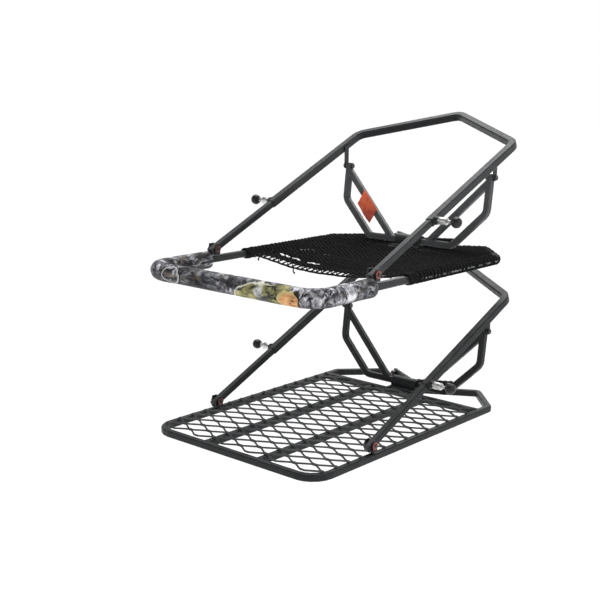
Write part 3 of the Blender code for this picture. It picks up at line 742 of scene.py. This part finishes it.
def make_hem(material):
    """Hem cord across the net's front, laced to it, with its knots and loose tails."""
    bm = bmesh.new()
    reach = HALF_WIDTH - TUBE / 2 - 0.003
    coil_r, tie_r, slack_tie_r = 0.0024, 0.0019, 0.0011

    def edge(x):
        return net_height(x, NET_FRONT_Y)

    def hem_z(x):
        return edge(x) - 0.0055 * max(0.0, 1 - (x / reach) ** 4)

    steps = 110
    hem = []
    for k in range(steps + 1):
        x = -reach + 2 * reach * k / steps
        hem.append(Vector((x, HEM_Y + 0.0010 * math.sin(k * 0.9), hem_z(x))))
    swell = [0.0025 + 0.0006 * wave(k * 0.7, 2.0, 5.0) for k in range(steps + 1)]
    sweep(bm, hem, swell, sides=8)
    for sign in (-1, 1):
        coil = []
        for k in range(85):
            a = math.tau * k / 14
            r = TUBE / 2 + 0.0032 + 0.0006 * math.sin(k * 0.37)
            coil.append(Vector((sign * (HALF_WIDTH + r * math.cos(a)), HEM_Y + 0.0048 * k / 14,
                                SEAT_Z + r * math.sin(a))))
        sweep(bm, coil, [coil_r] * len(coil), sides=7)
    pitch = 0.0152
    ties = int(2 * reach / pitch)
    for k in range(ties):
        x = -reach + pitch * (k + 0.5)
        jog = 0.0016 * wave(k * 1.7, 0.3, 8.0)
        low = Vector((x + jog, HEM_Y, hem_z(x)))
        high = Vector((x + pitch * 0.55 - jog, NET_FRONT_Y + 0.0020, edge(x) + 0.0005))
        back = Vector((x + pitch, HEM_Y, hem_z(x + pitch)))
        belly = Vector((0, 0, 0.0008))
        sweep(bm, [low, low.lerp(high, 0.5) + belly, high], [tie_r] * 3, sides=5)
        if k % 3:
            sweep(bm, [high, high.lerp(back, 0.5) - belly, back], [slack_tie_r] * 3, sides=5)
    for x, lean, length in ((-0.192, -0.5, 0.010), (-0.083, 0.4, 0.013), (0.205, 0.6, 0.009)):
        start = Vector((x, HEM_Y, hem_z(x)))
        tail = [start + Vector((lean * 0.010 * t, -0.004 * math.sin(t * 3), -length * t))
                for t in [k / 6 for k in range(7)]]
        sweep(bm, tail, [0.0015] * 5 + [0.0022, 0.0018], sides=6)
    hem_obj = build("seat_net_hem", bm, material, "seat", 60)
    return hem_obj


# ------------------------------------------------------------------ pad and label

def make_pad(material):
    """Camouflage foam sleeve round the seat's front bar, a little lumpy, with open ends."""
    end_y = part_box("seat_bar_pad")[1].y
    outer, inner = 0.0210, 0.0096
    corners = [(HALF_WIDTH, end_y, 0), (HALF_WIDTH, FRONT_Y, FRONT_CORNER),
               (-HALF_WIDTH, FRONT_Y, FRONT_CORNER), (-HALF_WIDTH, end_y, 0)]
    line = [Vector((p.x, p.y, SEAT_Z)) for p in bend_path(corners, 0.004, 14)]
    count = len(line)
    first, last = line[0], line[-1]
    lip = [(inner, 0.0), (outer - 0.0028, 0.0003), (outer - 0.0008, 0.0014)]
    path = [first + Vector((0, -d, 0)) for _, d in lip] + line[1:-1]
    path += [last + Vector((0, -d, 0)) for _, d in reversed(lip)]
    radii = [r for r, _ in lip] + [outer] * (count - 2) + [r for r, _ in reversed(lip)]

    def lumpy(i, k):
        if i < 3 or i > len(path) - 4:
            return 1.0
        p = path[i]
        slow = wave(p.x * 22.0, p.y * 22.0, k * 0.35)
        fine = wave(p.x * 90.0, p.y * 90.0, k * 0.9)
        return 0.985 + 0.028 * slow + 0.010 * fine

    bm = bmesh.new()
    rings = sweep(bm, path, radii, sides=32, closed_ends=False, wobble=lumpy)
    bm.faces.new(list(reversed(rings[0])))
    bm.faces.new(rings[-1])
    pad = build("seat_front_bar_pad", bm, material, "seat", 50)
    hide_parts("seat_bar_pad")


def make_label(material):
    """Blank cloth label that hangs from the left strut of the seat's brace, a little curled."""
    low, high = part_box("blank_label")
    center = (low + high) / 2
    data = frame["nodes"]["blank_label"].data
    corners = [v.co for v in data.vertices]
    edges = [corners[e.vertices[0]] - corners[e.vertices[1]] for e in data.edges]
    width, height = 0.066, 0.042
    run = min(edges, key=lambda e: abs(e.length - width)).normalized()
    if run.x < 0:
        run.negate()
    normal = sorted(data.polygons, key=lambda f: f.area)[-1].normal.copy()
    if normal.y > 0:
        normal.negate()
    square = normal.cross(run)
    if square.z > 0:
        square.negate()
    plumb = Vector((0, 0, -1))
    plumb = (plumb - normal * plumb.dot(normal)).normalized()
    hang = square.lerp(plumb, 0.42).normalized()
    top_edge = center - square * (height * 0.56) - run * 0.002
    across, along = 20, 14
    bm = bmesh.new()
    grid = []
    for i in range(along + 1):
        row = []
        for j in range(across + 1):
            u, v = j / across - 0.5, i / along
            curl = 0.0017 * math.sin(u * 5.5 + 0.8) * v + 0.0024 * v ** 2
            curl += 0.0006 * wave(u * 6, v * 5, 1.0)
            p = top_edge + run * (u * width) + hang * (v * height) + normal * curl
            row.append(bm.verts.new(p))
        grid.append(row)
    for i in range(along):
        for j in range(across):
            bm.faces.new((grid[i][j], grid[i][j + 1], grid[i + 1][j + 1], grid[i + 1][j]))
    label = build("brace_label", bm, material, "seat_brace_set", 60)
    thick = label.modifiers.new("cloth", "SOLIDIFY")
    thick.thickness = 0.0007
    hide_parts("blank_label")


# ------------------------------------------------------------------ hardware

def side_place(y, z, sign):
    """Places a turned piece on the middle plane, its axis pointing to the given side."""
    turn = Matrix.Identity(4) if sign > 0 else Matrix.Rotation(math.pi, 4, "Z")
    return Matrix.Translation((0, y, z)) @ turn


def side_span(node):
    """Nearest and farthest distance of a CAD node from the middle plane."""
    low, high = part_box(node)
    return sorted((abs(low.x), abs(high.x)))


def middle(node):
    """Middle of a CAD node, as y and z."""
    low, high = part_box(node)
    return (low.y + high.y) / 2, (low.z + high.z) / 2


def hex_bolt(name, place, reach, body, material, across=0.0062, height=0.0042):
    """Hexagon head with a chamfered crown, its face at reach along the axis."""
    top = reach + height
    profile = [(0.0, reach), (across * 0.55, reach), (across * 1.10, reach),
               (across * 1.10, reach + height * 0.7), (across * 0.88, top), (0.0, top)]
    piece = spin(name, profile, place, material, body, sides=6, smooth=0)


def make_spring(y, z, sign, material, prefix, side):
    """Coil spring round the pin, built at rest; the real one is pressed toward the barrel's end as
    the knob is pulled.
    """
    turns, steps = 9, 16
    start, end, stop = 0.2567, 0.2750, 0.2755
    coil_r, wire_r = 0.0042, 0.00035
    path = []
    for k in range(turns * steps + 1):
        part = k / (turns * steps)
        eased = part + 0.035 * math.sin(math.tau * part)
        a = math.tau * k / steps
        path.append(Vector((sign * (start + (end - start) * eased),
                            y + coil_r * math.cos(a), z + coil_r * math.sin(a))))
    bm = bmesh.new()
    sweep(bm, path, [wire_r] * len(path), sides=5)
    coil = build(f"{prefix}_pin_coil_{side}", bm, material, prefix + "_bow_set", 60)
    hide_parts(f"{prefix}_pin_spring_{side}")
    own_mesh(coil)


def make_pins(steel, knob, coat):
    """Barrels, spring pins and ball knobs, turned finely."""
    for prefix, height, side, sign in CORNERS:
        y = PIVOT[0] + PIN_AT * math.cos(ARM_ANGLE)
        z = height + PIVOT[1] + PIN_AT * math.sin(ARM_ANGLE)
        face, end = side_span(f"{prefix}_pin_barrel_{side}")
        place = side_place(y, z, sign)
        set_body = prefix + "_bow_set"
        painted = [(0.0052, face), (0.0104, face), (0.0100, face + 0.0018),
                   (0.0090, face + 0.0034), (0.0088, face + 0.0075), (0.0084, face + 0.0082),
                   (0.0052, face + 0.0082)]
        boss = spin(f"{prefix}_pin_boss_{side}", painted, place, coat, set_body)
        bright = [(0.0052, face + 0.0083), (0.0083, face + 0.0083), (0.0085, face + 0.0090),
                  (0.0085, end - 0.0016), (0.0078, end - 0.0004), (0.0070, end),
                  (0.0034, end), (0.0034, end - 0.003), (0.0052, end - 0.003)]
        tube = spin(f"{prefix}_pin_sleeve_{side}", bright, place, steel, set_body)
        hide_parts(f"{prefix}_pin_barrel_{side}")
        pin_body = f"{prefix}_pin_{side}"
        seat_at = KNOB_AT - KNOB_R * 0.93
        round_part = [(0.0, KNOB_AT + KNOB_R)]
        for k in range(1, 15):
            a = math.pi / 2 - math.pi * k / 16.5
            round_part.append((KNOB_R * math.cos(a), KNOB_AT + KNOB_R * math.sin(a)))
        round_part += [(0.0052, seat_at - 0.0006), (0.0050, seat_at - 0.0016),
                       (0.0, seat_at - 0.0016)]
        ball = spin(f"{prefix}_ball_{side}", round_part, place, knob, pin_body, 36, 40)
        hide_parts(f"{prefix}_pin_knob_{side}")
        tip = side_span(f"{prefix}_pull_pin_{side}")[0]
        shaft = [(0.0, tip), (0.0026, tip), (PIN_R, tip + 0.0006), (PIN_R, 0.2526),
                 (0.0045, 0.2528), (0.0045, 0.2558), (PIN_R, 0.2560), (PIN_R, 0.2850),
                 (0.0038, 0.2853), (0.0038, seat_at - 0.0018), (0.0, seat_at - 0.0018)]
        pin = spin(f"{prefix}_pin_shaft_{side}", shaft, place, steel, pin_body, 24)
        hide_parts(f"{prefix}_pull_pin_{side}")
        make_spring(y, z, sign, steel, prefix, side)


def make_bolts(black, washers):
    """Hexagon bolts at the arm pivots and the brace tops, and their red washers."""
    for prefix, _, side, sign in CORNERS:
        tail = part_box(f"{prefix}_pivot_bolt_{side}")[0].x
        washer = f"{prefix}_pivot_washer_{side}"
        place = Matrix.Translation((0, *middle(washer)))
        red, head = [corner.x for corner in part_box(washer)]
        head += 0.0003
        rim = [(0.0033, red), (0.0080, red), (0.0085, red + 0.0003), (0.0085, red + 0.0011),
               (0.0078, red + 0.0015), (0.0033, red + 0.0015)]
        ring = spin(f"{prefix}_red_washer_{side}", rim, place, washers[side], prefix)
        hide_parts(washer)
        shank = spin(f"{prefix}_pivot_shank_{side}",
                     [(0.0, tail), (0.0024, tail), (BOLT_R, tail + 0.0006), (BOLT_R, head),
                      (0.0, head)], place, black, prefix, 20)
        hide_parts(f"{prefix}_pivot_bolt_{side}")
        hex_bolt(f"{prefix}_pivot_head_{side}", place, head, prefix, black,
                 across=0.0046, height=0.0026)
        hex_bolt(f"{prefix}_pivot_nut_{side}", place, tail + 0.0020, prefix, black,
                 height=0.0040)
        y, z = middle(f"{prefix}_brace_bolt_{side}")
        place = side_place(y, z, sign)
        inner, outer = side_span(f"{prefix}_brace_bolt_{side}")
        outer -= 0.0042
        body = prefix + "_bow_set"
        stub = spin(f"{prefix}_brace_stub_{side}",
                    [(0.0, inner), (BOLT_R, inner), (BOLT_R, outer), (0.0, outer)],
                    place, black, body, 16)
        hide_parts(f"{prefix}_brace_bolt_{side}")
        hex_bolt(f"{prefix}_brace_nut_{side}", place, outer, body, black,
                 across=0.0066, height=0.0050)
        inward = side_place(y, z, -sign) @ Matrix.Translation((-2 * BRACE_FACE_X, 0, 0))
        hex_bolt(f"{prefix}_brace_head_{side}", inward, BRACE_FACE_X + 0.0002,
                 prefix + "_brace_set", black, across=0.0066, height=0.0045)


def make_blade_bolts(material):
    """The bolts that hold each blade's ends to the notch tubes, head and washer on top."""
    for prefix, height, side, sign in CORNERS:
        x = BLADE_X - 0.006
        y = HORN[1] - (HORN[0] - x) * NOTCH_SLOPE - 0.0005
        upright = Matrix.Rotation(-math.pi / 2, 4, "Y")
        place = Matrix.Translation((sign * x, y, height)) @ upright
        profile = [(0.0, 0.0085), (0.0078, 0.0085), (0.0080, 0.0097), (0.0062, 0.0101),
                   (0.0060, 0.0150), (0.0072, 0.0154), (0.0076, 0.0190), (0.0066, 0.0222),
                   (0.0036, 0.0236), (0.0, 0.0238)]
        name = f"{prefix}_blade_bolt_{side}"
        spin(name, profile, place, material, prefix, 24)


def make_caps(material):
    """Rounded plastic caps in the front ends of the inner arms."""
    for prefix, height, side, sign in CORNERS:
        along = Vector((0, math.cos(ARM_ANGLE), math.sin(ARM_ANGLE)))
        up = Vector((0, -math.sin(ARM_ANGLE), math.cos(ARM_ANGLE)))
        pivot = Vector((sign * ARM_X, PIVOT[0], PIVOT[1] + height))
        bm = bmesh.new()
        rings = []
        for size, reach in ((0.0064, ARM_FRONT + 0.004), (0.0064, ARM_FRONT - 0.0002),
                            (0.0078, ARM_FRONT - 0.0003), (0.0077, ARM_FRONT - 0.0016),
                            (0.0062, ARM_FRONT - 0.0024)):
            edge = size * 0.28
            flat = size - edge
            ring = []
            for k in range(16):
                a = math.tau * k / 16 + math.pi / 16
                corner_x = math.copysign(flat, math.cos(a))
                corner_z = math.copysign(flat, math.sin(a))
                ring.append(bm.verts.new(
                    pivot + along * reach
                    + Vector((1, 0, 0)) * (corner_x + edge * math.cos(a))
                    + up * (corner_z + edge * math.sin(a))))
            rings.append(ring)
        for first, second in zip(rings, rings[1:]):
            bridge(bm, first, second)
        bm.faces.new(rings[0])
        bm.faces.new(rings[-1])
        name = f"{prefix}_arm_cap_{side}"
        build(name, bm, material, prefix + "_arms", 30)


def make_welds(material):
    """Small beads where crossbars and slats meet the frames."""
    bm_by_body = {"platform": bmesh.new(), "seat": bmesh.new()}

    def bead(bm, start, end):
        count = max(4, round((end - start).length / 0.0018))
        path = [start.lerp(end, k / count) for k in range(count + 1)]
        radii = [0.0013 + 0.0005 * abs(math.sin(k * 1.9)) for k in range(count + 1)]
        sweep(bm, path, radii, sides=7)

    half = TUBE / 2 - 0.0012
    for prefix, height in SECTIONS:
        bm = bm_by_body[prefix]
        for sign in (-1, 1):
            x = sign * (HALF_WIDTH - TUBE / 2)
            for z in (-half, half):
                bead(bm, Vector((x, CROSSBAR_Y - half, height + z)),
                     Vector((x, CROSSBAR_Y + half, height + z)))
    for sign in (-1, 1):
        for y in (FRONT_Y + TUBE / 2, CROSSBAR_Y - TUBE / 2):
            for z in (-half, half):
                bead(bm_by_body["platform"], Vector((sign * SLAT_X - half, y, z)),
                     Vector((sign * SLAT_X + half, y, z)))
    for body, bm in bm_by_body.items():
        name = body + "_weld_beads"
        build(name, bm, material, body, 60)


# ------------------------------------------------------------------ stage

def make_stage():
    """Pale floor far below: the stand hangs free of it, as in the photo."""
    floor = Paint("pale_floor", rough=0.9)
    tone = floor.noise(2.0, 2.0)
    floor.link(floor.ramp(tone, [(0.0, grey(0.93)), (1.0, grey(0.95))]), "Base Color")
    bm = bmesh.new()
    bmesh.ops.create_grid(bm, x_segments=2, y_segments=2, size=40.0)
    mesh = mesh_from(bm, "floor")
    mesh.materials.append(floor.mat)
    obj = add_object("floor", mesh)
    obj.location.z = FLOOR_Z


def area_light(name, place, size, power):
    """Rectangular light that faces the camera's target."""
    data = bpy.data.lights.new(name, "AREA")
    data.shape = "RECTANGLE"
    data.size, data.size_y = size
    data.energy = power
    obj = add_object(name, data)
    obj.location = place
    obj.rotation_euler = (TARGET - place).to_track_quat("-Z", "Y").to_euler()


def make_lights():
    """White horizon under a grey dome, a wide ceiling light and two softboxes."""
    world = bpy.data.worlds.new("studio")
    world.use_nodes = True
    nodes = world.node_tree.nodes
    sky = nodes["Background"]
    direction = nodes.new("ShaderNodeTexCoord")
    split = nodes.new("ShaderNodeSeparateXYZ")
    ramp = nodes.new("ShaderNodeValToRGB")
    world.node_tree.links.new(direction.outputs["Generated"], split.inputs[0])
    world.node_tree.links.new(split.outputs["Z"], ramp.inputs[0])
    world.node_tree.links.new(ramp.outputs["Color"], sky.inputs["Color"])
    horizon, dome = ramp.color_ramp.elements
    horizon.position, horizon.color = 0.10, (1.0, 1.0, 1.0, 1.0)
    dome.position, dome.color = 0.32, (0.30, 0.30, 0.31, 1.0)
    sky.inputs["Strength"].default_value = 1.0
    bpy.context.scene.world = world
    sun = bpy.data.lights.new("ceiling_light", "SUN")
    sun.energy = 2.7
    sun.angle = math.radians(50)
    add_object("ceiling_light", sun).rotation_euler = (math.radians(-16), math.radians(-14), 0)
    area_light("rear_softbox", TARGET + Vector((-0.6, 2.4, 1.5)), (2.6, 1.0), 24)
    area_light("side_softbox", TARGET + Vector((2.4, 0.3, 1.3)), (1.4, 0.9), 14)
    bpy.context.scene.view_settings.view_transform = "Standard"


def make_camera():
    """Camera that was fitted to the stand's straight and parallel tubes."""
    back = Vector((math.sin(AZIMUTH) * math.cos(ELEVATION),
                   -math.cos(AZIMUTH) * math.cos(ELEVATION), math.sin(ELEVATION)))
    data = bpy.data.cameras.new("camera")
    data.lens = LENS
    data.sensor_width = 36.0
    data.shift_x, data.shift_y = SHIFT
    data.clip_end = 200.0
    obj = add_object("camera", data)
    obj.location = TARGET + back * DISTANCE
    look = (-back).to_track_quat("-Z", "Y").to_matrix().to_4x4()
    obj.rotation_euler = (look @ Matrix.Rotation(ROLL, 4, "Z")).to_euler()
    bpy.context.scene.camera = obj


# ------------------------------------------------------------------ assembly

make_camera()
make_stage()
make_lights()

COAT = coat_material("powder_coat", (0.012, 0.0132, 0.0142), (0.026, 0.028, 0.030),
                     (0.13, 0.135, 0.14))
# Painted shade: a darker copy of the same powder coat for the platform, which lies under the seat.
SHADED_PLATFORM_COAT = coat_material("powder_coat_platform_shaded", (0.0075, 0.0085, 0.009), (0.018, 0.0195, 0.021),
                           (0.10, 0.104, 0.108), shine=0.22)
# Painted light: a lighter copy of the same powder coat for the seat's brace, standing in for the
# light that falls on it.
LIT_BRACE_COAT = coat_material("powder_coat_brace_lit", (0.030, 0.032, 0.034), (0.072, 0.076, 0.079),
                           (0.24, 0.245, 0.25), shine=0.42)
DECK_COAT = coat_material("deck_coat", (0.022, 0.024, 0.025), (0.044, 0.047, 0.049),
                          (0.17, 0.175, 0.18), 0.0008)
STEEL = plated_material()
BLACK = blackened_material()
KNOB = knob_material()
WASHER = washer_material("red_nylon", (0.20, 0.035, 0.028), (0.46, 0.125, 0.100))
# A darker copy of the same red nylon, used for the left-side pivots.
DARKER_LEFT_WASHER = washer_material("red_nylon_darker", (0.05, 0.012, 0.011), (0.17, 0.045, 0.038))
NET = cord_material("net_cord", (0.003, 0.0032, 0.0032), (0.012, 0.0125, 0.0125))
LACE = cord_material("lacing_cord", (0.004, 0.0043, 0.0043), (0.022, 0.023, 0.023), 1400.0)
FRAYED_GLINTING_LACE = cord_material("lacing_fray_and_glint", (0.004, 0.0043, 0.0043), (0.022, 0.023, 0.023), 1400.0,
                          fray_and_tube_glint=True)
CAMO = camo_material()
LABEL = label_material()

FINISHES = {"coat": COAT, "deck": DECK_COAT, "dark_bolt": BLACK, "plated_steel": STEEL,
            "knob": KNOB, "washer": WASHER, "net": NET, "pad": CAMO, "label": LABEL}
for part in frame["record"]["subparts"]:
    finish = FINISHES[part["material_slot"]]
    # The platform's tubes get the painted-shade copy of the coat.
    if finish is COAT and part["node"].startswith("platform"):
        finish = SHADED_PLATFORM_COAT
    # The seat's brace gets the painted-light copy of the coat.
    if part["node"] == "seat_brace":
        finish = LIT_BRACE_COAT
    repaint(part["node"], finish)

make_deck(DECK_COAT)
NET_SHEET = make_net(NET)
ROLL_EDGE, LACING = make_lacing(FRAYED_GLINTING_LACE)
HEM = make_hem(LACE)
make_pad(CAMO)
make_label(LABEL)
make_pins(STEEL, KNOB, COAT)
make_bolts(BLACK, {"left": DARKER_LEFT_WASHER, "right": WASHER})
make_caps(COAT)
make_welds(COAT)
make_blade_bolts(BLACK)
